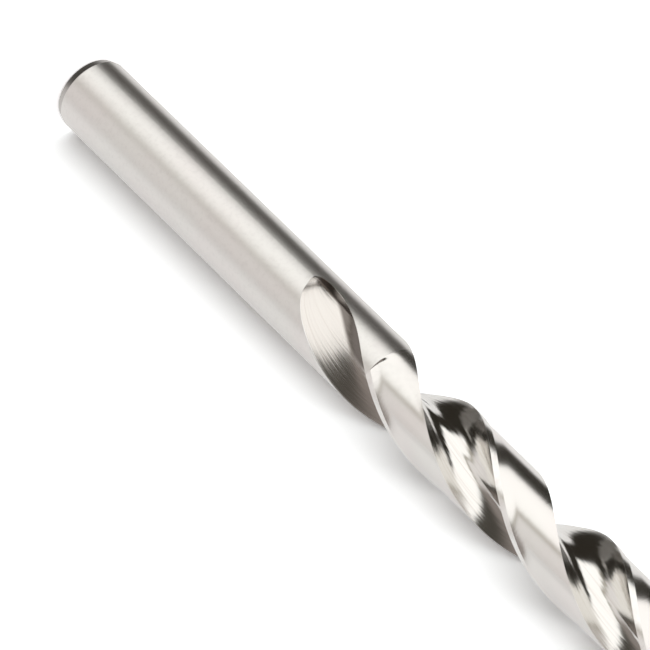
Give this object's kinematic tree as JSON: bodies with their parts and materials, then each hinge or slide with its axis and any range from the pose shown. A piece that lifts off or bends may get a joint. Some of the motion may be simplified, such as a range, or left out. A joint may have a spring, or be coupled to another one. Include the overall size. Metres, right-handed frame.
{
  "type": "twist drill bit",
  "caption": "Straight-shank jobber twist drill, 10 mm, with two right-hand helical flutes, ground margins and a conical point.",
  "frame": {"origin": "centre of the flat shank end face, which the drill stands on", "axes": "+Z runs along the drill axis from the shank end to the point; X and Y lie in the shank end face"},
  "size_m": [0.01, 0.01, 0.133],
  "materials": {
    "ground_steel": "bright ground high-speed steel, fine grinding marks round the shank and along the flutes"
  },
  "bodies": {
    "root": {"drill_bit": "ground_steel"}
  },
  "joints": []
}
